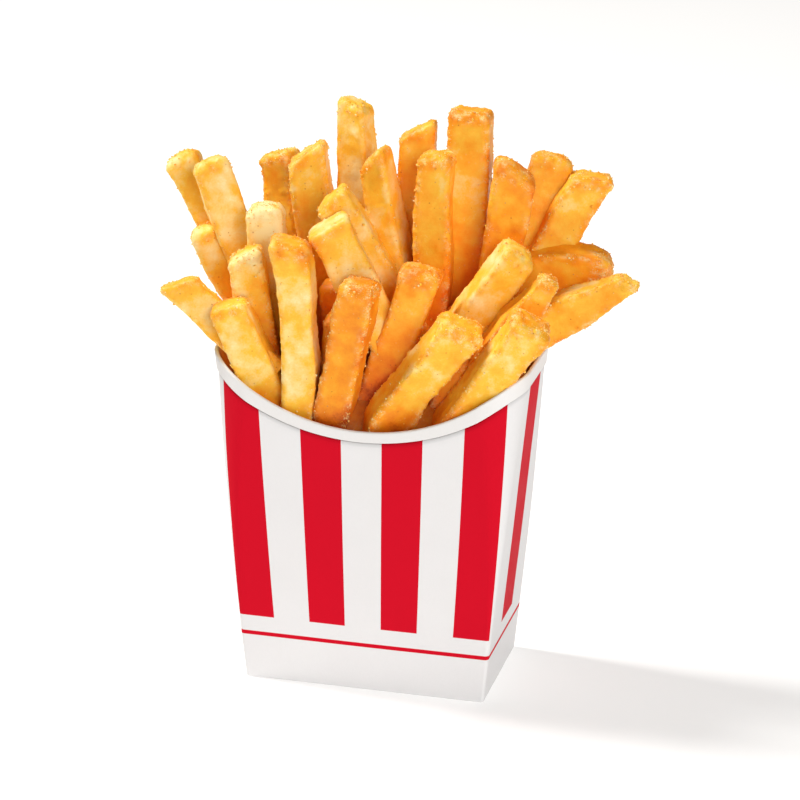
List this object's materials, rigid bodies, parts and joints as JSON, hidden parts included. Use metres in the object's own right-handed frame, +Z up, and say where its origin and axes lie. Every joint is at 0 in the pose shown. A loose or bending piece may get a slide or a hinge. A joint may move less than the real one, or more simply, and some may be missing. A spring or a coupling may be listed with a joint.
{
  "type": "french fries in a carton",
  "caption": "Thick-cut seasoned french fries fanned out of a folded red and white striped paperboard carton with a scooped, turned-over rim.",
  "frame": {"origin": "middle of the carton's base, on the surface it stands on", "axes": "+Z up, +X to the right along the carton's wide front, -Y out of the front"},
  "size_m": [0.1585, 0.0623, 0.1824],
  "materials": {
    "striped_board": "smooth coated paperboard, red and white print, white turned rim",
    "fried_potato": null
  },
  "bodies": {
    "root": {"carton": "striped_board", "fries": "fried_potato"}
  },
  "joints": []
}
